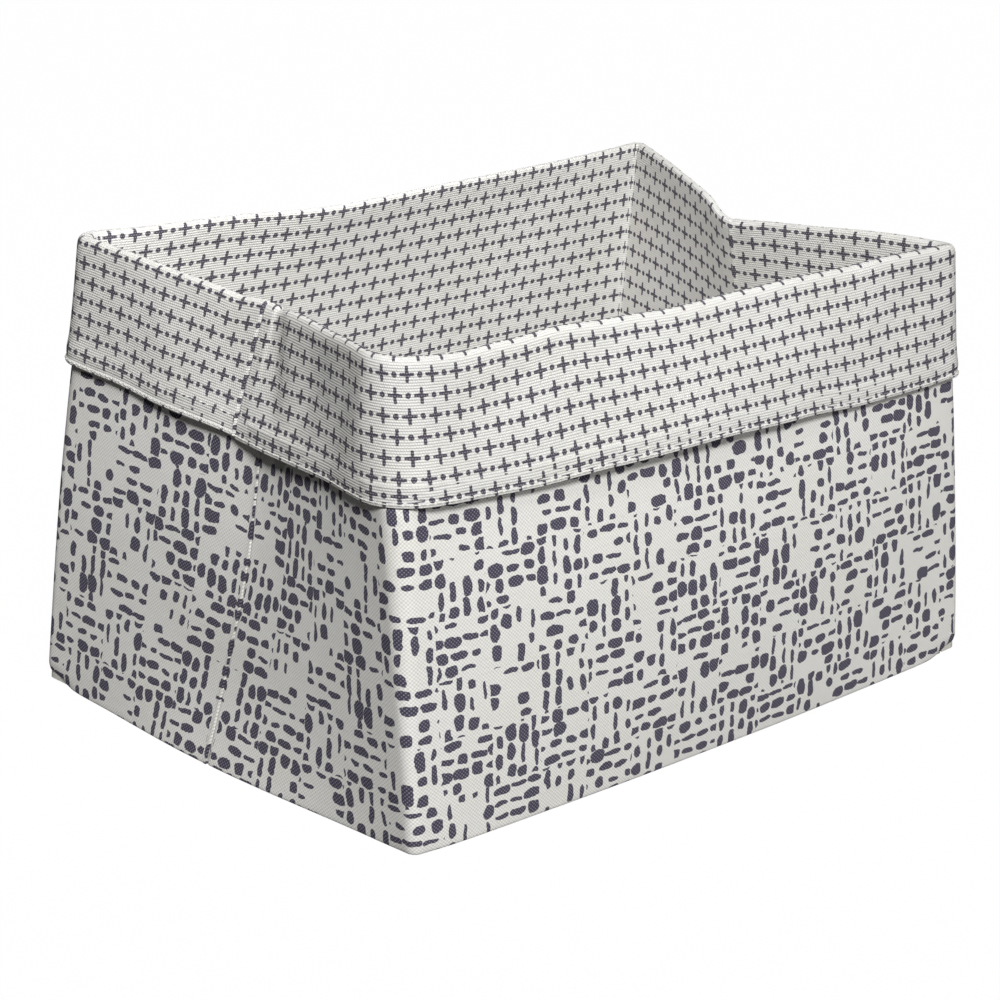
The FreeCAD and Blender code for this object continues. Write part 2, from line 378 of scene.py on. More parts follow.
RIM_TRIM = {"front": ([-290, -272, -225, -200, -160, -134, -108, -81, -45, -11,
                       34, 66, 97, 128, 157, 184, 240, 269, 290],
                      [0, -0.2, 1.0, 0.3, 0.3, 1.7, 0.5, -1.0, 0.6, 2.0, 1.1, 0.2, 0, -1.5, -1.8, -0.8, 0, -0.6, 0]),
            "rear": ([-290, -268, -233, -199, -186, -151, -96, -33, 37, 114, 150, 187, 226, 262, 278, 290],
                     [-1.0, 2.2, 2.6, 1.3, 0.4, -0.3, -1.8, 0.3, -0.8, -0.4, -0.5, -0.9, -0.9, -1.8, 0.6, 0.8])}
HEM_TRIM = {"front": ([-290, -241, -194, -157, -107, -60, -2, 53, 101, 140, 175, 230],
                      [-0.7, 0.2, 0.0, -1.0, 0.1, -1.4, -2.1, -0.6, 1.9, 2.0, 2.0, 0]),
            "rear": ([-290, -273, -237, -198, -170, -100], [-1.2, -1.6, -1.1, -2.9, -4.0, 0])}


def lowered_by(u, part, table):
    """The rim or hem is this much lower here: an eased path through listed places, millimetres."""
    places, lower = (np.array(row) for row in table[part])
    i = np.clip(np.searchsorted(places, u / MM) - 1, 0, len(places) - 2)
    return MM * (lower[i] + (lower[i + 1] - lower[i]) * ease((u / MM - places[i]) / (places[i + 1] - places[i])))


def lay(flat, part, profile, layer):
    u, v, w = flat.T
    out, z = profile.point(v)
    side_out, side_z = profile.side(v)
    lift = w + WAVE_HEIGHT.get(layer, 0.0) * waves(u, v, 1.0 if part == "rear" else 0.0)
    if layer in ("shell", "cuff"):
        lift = lift + seam_relief(u, v, part, layer)
    out, z = out + side_out * lift, z + side_z * lift
    if layer == "cuff":
        hanging = np.clip((RIM_TOP - v) / (RIM_TOP - HEM_EDGE), 0, 1)
        out = out + hem_flare(u, part) * hanging ** 1.6 + cuff_dents(u, v, part) * ease(hanging * 8)
    if layer == "shell":                        # the two far foot corners are round and just off the floor
        corner = bell(np.abs(u) - (WALL_HALF + CORNER_END) / 2, ROUND_HALF)
        corner = corner * np.where((u < 0) == (part == "rear"), 1.0, ROUND_NEAR)
        low = np.clip(1 - z / ROUND_TO, 0, 1)
        out = out - FOOT_ROUND * corner * (1 - np.sqrt(1 - low * low))
        z = z + FOOT_LIFT * low * low * corner
    x, y = round_the_corner(u, out, z, part)
    if layer == "cuff":
        slip = np.where(v < RIM_TOP, np.interp(z / MM, *SEAM_SLIP["cuff"]), np.interp(z / MM, *SEAM_SLIP["lining"]))
    else:
        slip = np.interp(z / MM, *SEAM_SLIP["shell" if layer == "shell" else "lining"])
    laid = np.stack(settle(x, y, z, slip * MM), -1)
    near_rim = ease((z - HEM_Z) / (RIM_Z - HEM_Z))
    laid[:, 2] -= near_rim * lowered_by(u, part, RIM_TRIM)
    if layer == "cuff":
        laid[:, 2] -= np.where(v < RIM_TOP, 1 - near_rim, 0) * lowered_by(u, part, HEM_TRIM)
    foot = {"shell": ease(1 - v / 0.0035), "cuff": ease(1 - (profile.length - v) / 0.0018)}.get(layer, 0 * v)
    return laid + foot[:, None] * (np.stack([x, y, z], -1) - laid)    # the foot's edge is sewn to the straight base


left_seam_top = lay(np.array([[-CLOTH_HALF, RIM_TOP, 0]]), "front", CUFF_PROFILE, "cuff")[0]
print("seam at the left rim lies at", np.round(left_seam_top, 4))

# %% [markdown]
# ## Cutting a piece
# A piece begins as a grid, whose columns and rows are then spaced close where the cloth bends and wide where it
# is flat. It gets its thickness while it is still flat, its cut edges are marked sharp, and its flat place is kept
# as its UV map, in metres. Only then is it laid on the basket.

# %% Cut, thicken and lay one piece
BESIDE_SEAM = (0.35, 0.7, 1.1, 1.6, 2.2, 3.0, 4.0, 5.2, 6.6, 8.0, 8.8, 9.6, 10.4, 11.4)     # millimetres


def spaced(start, stop, gap, fine_at=None):
    count = max(2, math.ceil(abs(stop - start) / gap))
    places = list(np.linspace(start, stop, count + 1))
    if fine_at is not None:
        inward = 1 if fine_at == min(start, stop) else -1
        extra = [fine_at + inward * d * MM for d in BESIDE_SEAM]
        places = [p for p in places if abs(p - fine_at) > 0.0124 or p == fine_at] + extra
    return sorted(places)


def flat_cloth(columns, rows, thickness):
    bm = bmesh.new()
    bmesh.ops.create_grid(bm, x_segments=len(columns) - 1, y_segments=len(rows) - 1, size=1)
    low = min(v.co.x for v in bm.verts)
    for v in bm.verts:
        i = round((v.co.x - low) / (-2 * low) * (len(columns) - 1))
        j = round((v.co.y - low) / (-2 * low) * (len(rows) - 1))
        v.co = (columns[i], rows[j], 0)
    bmesh.ops.solidify(bm, geom=bm.verts[:] + bm.edges[:] + bm.faces[:], thickness=thickness)
    top = max(v.co.z for v in bm.verts)
    for v in bm.verts:
        v.co.z -= top
    bmesh.ops.recalc_face_normals(bm, faces=bm.faces)
    for edge in bm.edges:
        edge.smooth = len(edge.link_faces) == 2 and edge.calc_face_angle() < 0.5
    return bm


def finish_piece(name, bm, place, flip, material, uv_of=None):
    mesh = bpy.data.meshes.new(name)
    bm.to_mesh(mesh)
    bm.free()
    flat = np.empty(len(mesh.vertices) * 3)
    mesh.vertices.foreach_get("co", flat)
    flat = flat.reshape(-1, 3)
    corner_vertex = np.empty(len(mesh.loops), int)
    mesh.loops.foreach_get("vertex_index", corner_vertex)
    uv = mesh.uv_layers.new(name="cloth")
    on_cloth = flat[:, :2] if uv_of is None else uv_of(flat)
    uv.data.foreach_set("uv", on_cloth[corner_vertex].astype(np.float32).ravel())
    mesh.vertices.foreach_set("co", place(flat).astype(np.float32).ravel())
    if flip:
        mesh.flip_normals()
    mesh.polygons.foreach_set("use_smooth", [True] * len(mesh.polygons))
    mesh.materials.append(material)
    mesh.update()
    return put(name, mesh)


REAR_LOWER, FRONT_RIGHT_LOWER = 0.0041, 0.0052


def on_the_roll(flat, part, layer):
    """Where it was cut from the printed roll: the rear cut, and the front one's right end, sit a little lower."""
    lower = REAR_LOWER if part == "rear" else FRONT_RIGHT_LOWER * ease((flat[:, 0] - WALL_HALF) / ZONE_CLOTH)
    return flat[:, :2] - np.stack([0 * flat[:, 0], lower + 0 * flat[:, 0]], -1) * (layer == "cuff")


def layer_piece(name, part, layer, profile, columns, rows, thickness, material):
    bm = flat_cloth(columns, rows, thickness)
    return finish_piece(name, bm, lambda flat: lay(flat, part, profile, layer), part == "rear", material,
                        lambda flat: on_the_roll(flat, part, layer))


print("a wall piece has", len(spaced(-WALL_HALF, WALL_HALF, 0.003)), "columns and", len(CUFF_PROFILE.rows), "rows")

# %% [markdown]
# ## Finishes from nodes
# Each finish is worked out by nodes from the piece's UV map, which is the flat cloth in metres. So a thread has its
# true size everywhere and follows the cloth round every bend. These small helpers add a node and join it up.

# %% Small helpers for node finishes
def maths(operation):
    """A method that adds one sum as a node."""
    return lambda self, *values, clamp=False: self.calc(operation, *values, clamp=clamp)


def dial(node, **values):
    for name, value in values.items():
        node.inputs[name.replace("_", " ")].default_value = value


class Finish:
    add, minus, times, over = (maths(word) for word in ("ADD", "SUBTRACT", "MULTIPLY", "DIVIDE"))
    power, size, floor, wrap = (maths(word) for word in ("POWER", "ABSOLUTE", "FLOOR", "FLOORED_MODULO"))

    def __init__(self, name):
        self.material = bpy.data.materials.new(name)
        self.material.use_nodes = True
        self.tree = self.material.node_tree
        self.shader = self.tree.nodes["Principled BSDF"]

    def node(self, kind, **settings):
        made = self.tree.nodes.new(kind)
        for key, value in settings.items():
            setattr(made, key, value)
        return made

    def wire(self, value, socket):
        if isinstance(value, bpy.types.NodeSocket):
            self.tree.links.new(value, socket)
        else:
            socket.default_value = value

    def feed(self, kind, *values, **settings):
        made = self.node(kind, **settings)
        for value, socket in zip(values, made.inputs):
            self.wire(value, socket)
        return made.outputs

    def calc(self, operation, a, b=0.0, c=0.0, clamp=False):
        return self.feed("ShaderNodeMath", a, b, c, operation=operation, use_clamp=clamp)[0]

    def look(self, colour, normal, **dials):
        self.wire(colour, self.shader.inputs["Base Color"])
        self.wire(normal, self.shader.inputs["Normal"])
        dial(self.shader, **dials)
        return self.material

    def step_up(self, value, low, high):
        return self.feed("ShaderNodeMapRange", value, low, high, 0.0, 1.0, interpolation_type="SMOOTHSTEP")[0]

    def line(self, value, slope, start):
        return self.add(self.times(value, slope), start)

    def combine(self, x, y, z=0.0):
        return self.feed("ShaderNodeCombineXYZ", x, y, z)[0]

    def ripple(self, place, rate):
        """From 0 to 1 and back, like a row of round bars."""
        return self.size(self.calc("SINE", self.times(place, rate)))

    def noise(self, vector, scale, detail=2.0):
        made = self.node("ShaderNodeTexNoise")
        self.wire(vector, made.inputs["Vector"])
        dial(made, Scale=scale, Detail=detail)
        return made.outputs["Fac"]

    def wobble(self, vector, scale, detail, reach):
        return self.times(self.minus(self.noise(vector, scale, detail), 0.5), reach)

    def chance(self, vector):
        made = self.feed("ShaderNodeTexWhiteNoise", vector, noise_dimensions="3D")
        return self.feed("ShaderNodeSeparateXYZ", made["Color"])

    def mix(self, share, a, b):
        made = self.node("ShaderNodeMix", data_type="RGBA")
        self.wire(share, made.inputs["Factor"])
        for v, socket in ((a, made.inputs[6]), (b, made.inputs[7])):
            self.wire((*v, 1.0) if isinstance(v, tuple) else v, socket)
        return made.outputs[2]

    def cloth_place(self):
        """Millimetres along and up the flat cloth."""
        x, y, _ = self.feed("ShaderNodeSeparateXYZ", self.node("ShaderNodeUVMap", uv_map="cloth").outputs[0])
        return self.times(x, 1000.0), self.times(y, 1000.0)

    def bump(self, height, distance, strength=1.0, under=None):
        made = self.node("ShaderNodeBump")
        self.wire(height, made.inputs["Height"])
        dial(made, Distance=distance, Strength=strength)
        if under is not None:
            self.wire(under, made.inputs["Normal"])
        return made.outputs[0]


print("helpers ready")

# %% [markdown]
# ## The dotted canvas of the lining and cuff
# A ribbed canvas: thick crosswise yarns 1.2 mm apart, with fine lengthwise yarns going over and under them. It is
# printed with rows of small plus signs and dots in turn, each row shifted half a step, a common pattern.
# The ink sits on the yarns' tops and misses some of the gaps, so the print shows the ribs.

# %% Ribbed canvas with pluses and dots
CLOTH_IVORY = (0.708, 0.702, 0.676)
INK_SLATE = (0.079, 0.070, 0.095)
PRINT_STEP, PRINT_RISE, LAST_ROW_ABOVE_HEM = 12.5, 8.7, 3.4         # millimetres, like the widths below
STEM_SIDE, STEM_TIP = (1.29, 0.99), (3.75, 3.3) # where the ink of a plus ends, and where it is full
BAR_SIDE, BAR_TIP = (1.20, 0.92), (3.70, 3.25)
DOT_RIM = (1.63, 1.35)
RIB, RIB_THREAD = 1.18, 1.25                    # spacing of the ribs and of the threads across them


def fold_back(f, value, period):
    """Distance from the nearest multiple of period."""
    from_start = f.wrap(f.add(value, period / 2), period)
    return f.size(f.minus(from_start, period / 2))


def ribbed_weave(f, u, v):
    """Height of a ribbed weave from 0 to 1: round ribs, each beaded by the threads that go over it."""
    rib_at = f.over(v, RIB)
    across = f.ripple(rib_at, math.pi)
    turn_over = f.times(f.wrap(f.floor(rib_at), 2.0), RIB_THREAD / 2)
    beads = f.add(u, turn_over)
    along = f.ripple(beads, math.pi / RIB_THREAD)
    luck = f.chance(f.combine(f.floor(f.over(beads, RIB_THREAD)), f.floor(rib_at)))[0]
    height = f.line(along, 0.62, f.line(luck, 0.14, 0.26))
    return f.times(f.power(across, 1.2), height)


def plain_weave(f, u, v, thread):
    """Height of a plain weave from 0 to 1: tops and gaps like the two colours of a chess board."""
    checks = f.times(*(f.calc("COSINE", f.times(place, math.pi / thread)) for place in (u, v)))
    luck = f.noise(f.combine(u, v), 0.8, 1.0)
    return f.add(f.times(checks, 0.38), f.line(luck, 0.3, 0.35), clamp=True)


def cloth_colour(f, u, v, weave, ink, depth, dark=INK_SLATE, light=CLOTH_IVORY):
    """Ivory with painted shade in the weave's gaps and painted light on its tops, and ink that thins out on the
    threads' tops.
    """
    flat = f.combine(u, v)
    slub = f.noise(f.combine(f.times(u, 0.06), v), 1.1, 3.0)
    cloud = f.noise(flat, 0.025, 3.0)
    fibre = f.noise(flat, 2.2, 2.0)
    # painted shade and light: the colour is darkened in the weave's gaps and lightened on its tops, by depth, then
    # varied by slubs and fibres
    painted_gap_shade_and_slub = f.line(f.minus(weave, 0.5), depth, 1.0)
    painted_gap_shade_and_slub = f.times(painted_gap_shade_and_slub, f.line(slub, 0.08, 0.96))
    painted_gap_shade_and_slub = f.times(painted_gap_shade_and_slub, f.line(fibre, 0.08, 0.96))
    plain = f.mix(f.step_up(cloud, 0.35, 0.75), light, tuple(c * k for c, k in zip(light, (0.985, 0.975, 0.955))))
    speck = f.step_up(weave, 0.50, 0.85)
    worn = f.minus(1.0, f.times(speck, f.line(fibre, 0.24, 0.08)))
    cover = f.times(ink, worn, clamp=True)
    coloured = f.mix(cover, plain, dark)
    shaded = f.node("ShaderNodeVectorMath", operation="SCALE")
    f.wire(coloured, shaded.inputs[0])
    f.wire(painted_gap_shade_and_slub, shaded.inputs["Scale"])
    return shaded.outputs[0]


def make_cuff_canvas():
    f = Finish("cuff_canvas")
    u, v = f.cloth_place()
    flat = f.combine(u, v)
    shake = f.wobble(flat, 0.35, 3.0, 0.9)
    sway = f.wobble(f.combine(v, u, 9.0), 0.30, 3.0, 0.9)
    a, b = f.add(u, shake), f.add(v, sway)
    step, rise = PRINT_STEP, PRINT_RISE
    last_row = HEM_EDGE / MM + LAST_ROW_ABOVE_HEM
    first_row = (math.ceil(last_row / rise) + 0.5) * rise - last_row
    b = f.add(b, first_row)                     # so that a row lies just above the hem
    row = f.floor(f.over(b, rise))
    shifted = f.add(a, f.times(f.wrap(row, 2.0), step / 2))
    from_row = f.minus(f.wrap(b, rise), rise / 2)
    up, side = f.size(from_row), fold_back(f, shifted, step)
    thin = f.times(f.noise(flat, 0.9, 2.0), 0.36)
    taper_up, taper_side = f.times(up, 0.075), f.times(side, 0.075)
    stem = f.times(f.step_up(f.add(f.add(side, thin), taper_up), *STEM_SIDE), f.step_up(up, *STEM_TIP))
    bar = f.times(f.step_up(f.add(f.add(up, thin), taper_side), *BAR_SIDE), f.step_up(side, *BAR_TIP))
    dot_side = fold_back(f, f.add(shifted, step / 2), step)
    round_dot = f.calc("SQRT", f.add(f.power(dot_side, 2.0), f.power(f.times(up, 1.02), 2.0)))
    dot = f.step_up(f.add(round_dot, thin), *DOT_RIM)
    ink = f.calc("MAXIMUM", f.calc("MAXIMUM", stem, bar), dot)
    weave = ribbed_weave(f, u, v)
    colour = cloth_colour(f, u, v, weave, ink, 0.31)
    creased = f.bump(f.noise(flat, 0.11, 3.0), 0.0012, 0.35)
    return f.look(colour, f.bump(weave, 0.00024, 0.9, creased), Roughness=0.9, Specular_IOR_Level=0.12,
                  Sheen_Weight=0.04, Sheen_Roughness=0.5)


cuff_canvas = make_cuff_canvas()
print("cuff canvas has", len(cuff_canvas.node_tree.nodes), "nodes")

# %% [markdown]
# ## The printed canvas of the shell
# The outside is a finer, plain weave. Its print is a plain hatch made for this model: blocks of brushed strokes,
# upright and lying in turn like a basket weave, in slate on ivory. White noise on the number of a stroke gives
# each its own length, width and gaps.

# %% Plain canvas with a brushed basket-weave hatch
SHELL_IVORY, SHELL_INK = (0.790, 0.781, 0.750), (0.069, 0.0615, 0.098)
HATCH_BLOCK, SHELL_THREAD = 26.0, 0.85          # millimetres
LINES, DABS, PRINTED = 4.0, 3.0, 0.82           # lines in a block, dabs in a line, and the share that is printed


def make_printed_canvas():
    f = Finish("printed_canvas")
    u, v = f.cloth_place()
    flat = f.combine(u, v)
    shake = f.wobble(flat, 0.16, 4.0, 3.4)
    sway = f.wobble(f.combine(v, u, 5.0), 0.16, 4.0, 3.4)
    a, b = f.over(f.add(u, shake), HATCH_BLOCK), f.over(f.add(v, sway), HATCH_BLOCK)
    block_u, block_v = f.floor(a), f.floor(b)
    lying = f.wrap(f.add(block_u, block_v), 2.0)
    in_u, in_v = f.minus(a, block_u), f.minus(b, block_v)

    def turned(first, second):
        return f.add(f.times(first, f.minus(1.0, lying)), f.times(second, lying))

    across, along = f.times(turned(in_u, in_v), LINES), turned(in_v, in_u)
    line = f.floor(across)
    own = f.chance(f.combine(block_u, block_v, line))
    run = f.add(f.times(along, DABS), own[0])
    dab = f.floor(run)
    stroke_u, stroke_v = f.add(f.times(block_u, LINES), line), f.add(f.times(block_v, DABS + 2.0), dab)
    luck = f.chance(f.combine(stroke_u, stroke_v, lying))
    off = f.times(f.minus(luck[1], 0.5), 0.22)
    side = f.size(f.add(f.minus(f.minus(across, line), 0.5), off))
    ahead = f.size(f.minus(f.minus(run, dab), 0.5))
    wide = f.line(f.power(luck[0], 1.6), 0.32, 0.165)
    long = f.line(luck[2], 0.30, 0.26)
    shape = f.add(f.power(f.over(side, wide), 2.2), f.power(f.over(ahead, long), 3.0))
    rough = f.wobble(flat, 0.9, 2.0, 0.8)
    printed = f.calc("LESS_THAN", luck[1], PRINTED)
    ink = f.times(f.step_up(f.add(shape, rough), 1.10, 0.90), printed)
    weave = plain_weave(f, u, v, SHELL_THREAD)
    colour = cloth_colour(f, u, v, weave, ink, 0.50, SHELL_INK, SHELL_IVORY)
    creased = f.bump(f.noise(flat, 0.07, 3.0), 0.0012, 0.30)
    return f.look(colour, f.bump(weave, 0.00018, 0.8, creased), Roughness=0.88, Specular_IOR_Level=0.14,
                  Sheen_Weight=0.03, Sheen_Roughness=0.5)


printed_canvas = make_printed_canvas()
print("printed canvas has", len(printed_canvas.node_tree.nodes), "nodes")

# %% [markdown]
# ## Board, felt, webbing and thread
# These sit inside the walls, apart from the thread, but they still get their own surfaces: grey board is speckled
# with fibres, felt is soft and matted, and thread is a tight twist.

# %% The hidden layers and the thread
def speckled(name, light, dark, scale, roughness, depth):
    f = Finish(name)
    place = f.node("ShaderNodeTexCoord").outputs["Object"]
    fleck = f.noise(place, scale, 4.0)
    colour = f.mix(f.step_up(fleck, 0.38, 0.66), light, dark)
    return f.look(colour, f.bump(f.noise(place, scale * 2.5, 2.0), depth, 0.6), Roughness=roughness)


greyboard = speckled("greyboard", (0.36, 0.34, 0.30), (0.24, 0.225, 0.20), 900.0, 0.9, 0.0002)
felt = speckled("felt", (0.62, 0.61, 0.58), (0.50, 0.49, 0.46), 500.0, 0.97, 0.0005)
webbing = speckled("webbing", (0.70, 0.68, 0.63), (0.58, 0.56, 0.51), 1200.0, 0.85, 0.0002)


def make_thread():
    f = Finish("sewing_thread")
    u, v = f.cloth_place()
    twist = f.ripple(f.add(u, v), 9.0)
    # painted shade and light: the twist's grooves are painted darker and its ridges lighter
    colour = f.mix(twist, (0.62, 0.60, 0.56), (0.80, 0.785, 0.745))
    return f.look(colour, f.bump(twist, 0.0001, 0.8), Roughness=0.6)


sewing_thread = make_thread()
for name in ("base_rear_board", "base_front_board"):
    node = frame["nodes"][name]
    node.data.materials.clear()
    node.data.materials.append(greyboard)
print("board, felt, webbing and thread are made")

# %% [markdown]
# ## How a piece moves when the basket is folded
# The basket folds flat for storage: both ends and the base crease along their middle. A piece on a long wall rides
# on that wall. A piece round a corner is baked into place and rides on no body. A piece on half of an end rides on
# it and gets a mesh of its own.


def fasten(piece, part, stretch, side=None):
    wall = "back_wall" if part == "rear" else "front_wall"
    if stretch == "wall":
        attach(piece, wall)
    elif stretch == "corner":
        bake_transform(piece)
    else:
        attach(piece, f"{side}_{part}_half")
        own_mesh(piece)
    return piece


def stretches(part):
    """(name, side, stretch, from, to) for the five pieces that one cloth is laid in."""
    return [(f"{part}_wall", None, "wall", -WALL_HALF, WALL_HALF),
            (f"right_{part}_corner", "right", "corner", WALL_HALF, CORNER_END),
            (f"left_{part}_corner", "left", "corner", -CORNER_END, -WALL_HALF),
            (f"right_{part}_end", "right", "end", CORNER_END, CLOTH_HALF),
            (f"left_{part}_end", "left", "end", -CLOTH_HALF, -CORNER_END)]


GAP = {"wall": 0.003, "corner": 0.0014, "end": 0.0026}     # between columns
SHELL_T, CUFF_T = 0.0009, 0.0008                # thickness of the two canvases
print("pieces of one cloth:", [s[0] for s in stretches("front")])

# %% [markdown]
# ## The shell
# Two cuts of printed canvas, front and rear, are sewn together up the middle of both ends. Each cut is laid in five
# pieces: a wall, two corners and two halves of the ends. The pieces share their edges and their print.

# %% Lay the printed shell
def lay_layer(word, layer, profile, thickness, material, nodes):
    for part in ("rear", "front"):
        for name, side, stretch, start, stop in stretches(part):
            fine = (CLOTH_HALF if side == "right" else -CLOTH_HALF) if stretch == "end" else None
            columns = spaced(start, stop, GAP[stretch], fine)
            piece = layer_piece(f"{name}_{word}", part, layer, profile, columns, profile.rows, thickness, material)
            fasten(piece, part, stretch, side)
            if stretch != "corner":             # a long wall's solid holds its corners too
                panel = part if stretch == "wall" else f"{side}_{part}"
                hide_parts(*(f"{panel}_{node}" for node in nodes))


lay_layer("shell", "shell", SHELL_PROFILE, SHELL_T, printed_canvas, ("shell",))
print("shell laid in", 2 * len(stretches("rear")), "pieces")

# %% [markdown]
# ## The lining and cuff
# One cloth does both. Starting at the folded hem, it climbs the outside, rolls over the rim and drops to the base.

# %% Lay the lining and cuff
lay_layer("cuff_and_lining", "cuff", CUFF_PROFILE, CUFF_T, cuff_canvas, ("cuff", "lining"))
print("lining and cuff laid in", 2 * len(stretches("rear")), "pieces")

# %% [markdown]
# ## Boards, felt and corner strips
# Greyboard stiffens the long walls and felt the halves of the ends. Strips of webbing bridge the corners inside.
# They follow the same settling, so they stay between the two cloths.

# %% Fill the walls
BOARD_FACES, STRIP_FACES = (-1.15, -3.95), (-1.3, -3.6)             # outer and inner face, millimetres
BOARD_REACH, FELT_REACH, STRIP_REACH = (1.4, 206), (1.4, 205), (1.6, 205)   # foot and top, millimetres
BOARD_PAST, FELT_GAPS, STRIP_GAPS = 0.010, (0.0005, 0.002), (0.0115, 0.0005)        # at their ends, metres


def filler(name, part, stretch, side, start, stop, faces, reach, material, node, slot):
    (outer, inner), (bottom, top) = faces, reach
    straight = Profile([(outer, bottom), (outer, (bottom + top) / 2), (outer, top)], rounds=1, gap=0.01)
    gap = 0.002 if stretch == "corner" else 0.006
    piece = layer_piece(name, part, "inside", straight, spaced(start, stop, gap), straight.rows,
                        (outer - inner) * MM, material)
    fasten(piece, part, stretch, side)
    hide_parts(node)


for part in ("rear", "front"):
    filler(f"{part}_greyboard", part, "wall", None, -WALL_HALF - BOARD_PAST, WALL_HALF + BOARD_PAST, BOARD_FACES,
           BOARD_REACH, greyboard, f"{part}_board", "greyboard")
    for side, s in (("right", 1), ("left", -1)):
        ends = sorted((s * (CORNER_END + FELT_GAPS[0]), s * (CLOTH_HALF - FELT_GAPS[1])))
        filler(f"{side}_{part}_felt", part, "end", side, *ends, BOARD_FACES, FELT_REACH, felt,
               f"{side}_{part}_stiffener", "felt")
        bend = sorted((s * (WALL_HALF + STRIP_GAPS[0]), s * (CORNER_END - STRIP_GAPS[1])))
        filler(f"{side}_{part}_webbing", part, "corner", side, *bend, STRIP_FACES, STRIP_REACH, webbing,
               f"{side}_{part}_corner_strip", "cuff_canvas")
print("walls are filled")

# %% [markdown]
# ## The base
# The base is a board in two halves, hinged to the long walls, with printed canvas under it and lining over it. Each
# half is a trapezium, which leaves room for the ends to fold in. Its grid is stretched to the trapezium in plan.

# %% Cover the two halves of the base
board_low, board_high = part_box("base_rear_board")
BASE_EDGE_HALF, BASE_EDGE_Y, BASE_SEAM_Y = board_high.x, board_high.y, board_low.y
BASE_DEPTH, BASE_TOP = BASE_EDGE_Y - BASE_SEAM_Y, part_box("base_rear_lining")[1].z
BASE_MITRE, BASE_CLEAR = 0.745, 0.0002          # slope of the slanting edges, and air round the sheets
BASE_SEAM_HALF = BASE_EDGE_HALF - BASE_MITRE * BASE_DEPTH
CLOTH_T = 0.0007                                # of the sheets under the base and of the gussets


def mitre(y):
    return BASE_SEAM_HALF + (BASE_EDGE_HALF - BASE_SEAM_HALF) * (np.abs(y) - BASE_SEAM_Y) / BASE_DEPTH


def plan_piece(name, part, thickness, material, place, columns=60, rows=46):
    """place gives (x, y, z) from shares 0..1 across and along, and w, the height above the printed face."""
    bm = flat_cloth(list(np.linspace(0, 1, columns)), list(np.linspace(0, 1, rows)), thickness)

    def lay_plan(flat):
        return np.stack(place(*flat.T), -1) * ((1, -1, 1) if part == "front" else 1)

    return finish_piece(name, bm, lay_plan, part == "front", material, lambda flat: lay_plan(flat)[:, :2])


def base_lining(p, q, w):
    y = BASE_SEAM_Y + BASE_CLEAR + q * (BASE_DEPTH - 2 * BASE_CLEAR)
    x = (2 * p - 1) * (mitre(y) - BASE_CLEAR)
    edge = np.minimum(np.minimum(p, 1 - p) * 2 * mitre(y), np.minimum(y - BASE_SEAM_Y, BASE_EDGE_Y - y))
    swell = 0.0006 * ease(edge / 0.012) - 0.0006 * (1 - ease(edge / 0.0025)) + 0.00018 * waves(x * 2, y * 2)
    return x, y, BASE_TOP - BASE_CLEAR + w + swell


def base_cloth(p, q, w):
    y = BASE_SEAM_Y + BASE_CLEAR + q * (BASE_DEPTH - 2 * BASE_CLEAR)
    return (1 - 2 * p) * (mitre(y) - BASE_CLEAR), y, board_low.z - BASE_CLEAR - CLOTH_T - w


for part in ("rear", "front"):
    for word, place, thickness, material, slot in (("lining", base_lining, 0.0006, cuff_canvas, "cuff_canvas"),
                                                   ("cloth", base_cloth, CLOTH_T, printed_canvas, "printed_canvas")):
        piece = plan_piece(f"base_{part}_{word}_sheet", part, thickness, material, place)
        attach(piece, f"base_{part}_half")
        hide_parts(f"base_{part}_{word}")
print("base half", round(2 * BASE_EDGE_HALF, 3), "by", round(BASE_EDGE_Y, 4), "m")

# %% [markdown]
# ## The soft corners of the base
# Between the board and the folding ends the floor is only cloth, three-cornered and soft, with a printed sheet
# below and a lining sheet above. It crumples towards the end as the basket folds; these pieces ride on the halves
# of the ends.

# %% Lay the gussets
GUSSET_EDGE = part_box("left_rear_gusset")[0].x
GUSSET_GAP, GUSSET_ROUND, GUSSET_IN = 0.0005, 0.006, 0.0065         # beside the base, and in at the upright corner
GUSSET_TOP, GUSSET_SAG, GUSSET_LOW = 0.0043, 0.0018, 0.0002


def gusset_plan(p, q):
    y = BASE_SEAM_Y + BASE_CLEAR + q * (BASE_DEPTH - 0.001)
    near = mitre(y) + GUSSET_GAP
    past = np.clip(y - (SHELL_Y - CORNER_R), 0, None)
    far = -GUSSET_EDGE - np.clip(past / GUSSET_ROUND, 0, 1) ** 2 * GUSSET_IN
    return near + p * (far - near), y


for part in ("rear", "front"):
    for side, sx in (("right", 1), ("left", -1)):
        def top_sheet(p, q, w, sx=sx):
            x, y = gusset_plan(p, q)
            sag = np.sin(math.pi * np.clip(p, 0, 1)) * np.clip(1 - q, 0, 1)
            return sx * x, y, GUSSET_TOP + w - GUSSET_SAG * sag + 0.0004 * waves(x * 3, y * 3)

        def under_sheet(p, q, w, sx=sx):
            x, y = gusset_plan(p, q)
            return sx * x, y, GUSSET_LOW - w

        for word, place, material, slot in (("lining", top_sheet, cuff_canvas, "cuff_canvas"),
                                            ("cloth", under_sheet, printed_canvas, "printed_canvas")):
            piece = plan_piece(f"{side}_{part}_gusset_{word}", part, CLOTH_T, material, place, 30, 40)
            if (sx > 0) == (word == "cloth"):
                piece.data.flip_normals()
            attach(piece, f"{side}_{part}_half")
            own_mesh(piece)
            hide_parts(f"{side}_{part}_gusset")
print("gusset edge at", round(GUSSET_EDGE, 4))

# %% [markdown]
# ## The hem's stitches
# A row of short stitches holds the cuff's hem, close to its edge. Each is a tiny egg of a few faces, laid on the
# cloth by the same formula as the cloth itself, so it moves with the cuff.

# %% Sew the hem
HEM_STITCH_Z = 149.9                            # millimetres
STITCH_STEP, STITCH = 0.0031, (0.00112, 0.00030, 0.00022)           # spacing, and half of length, height and depth
off_row = np.abs(CUFF_PROFILE.line[:, 1] / MM - HEM_STITCH_Z)
stitch_row = CUFF_PROFILE.at[np.argmin(np.where(CUFF_PROFILE.at > HEM_EDGE + 0.0012, off_row, 99))]


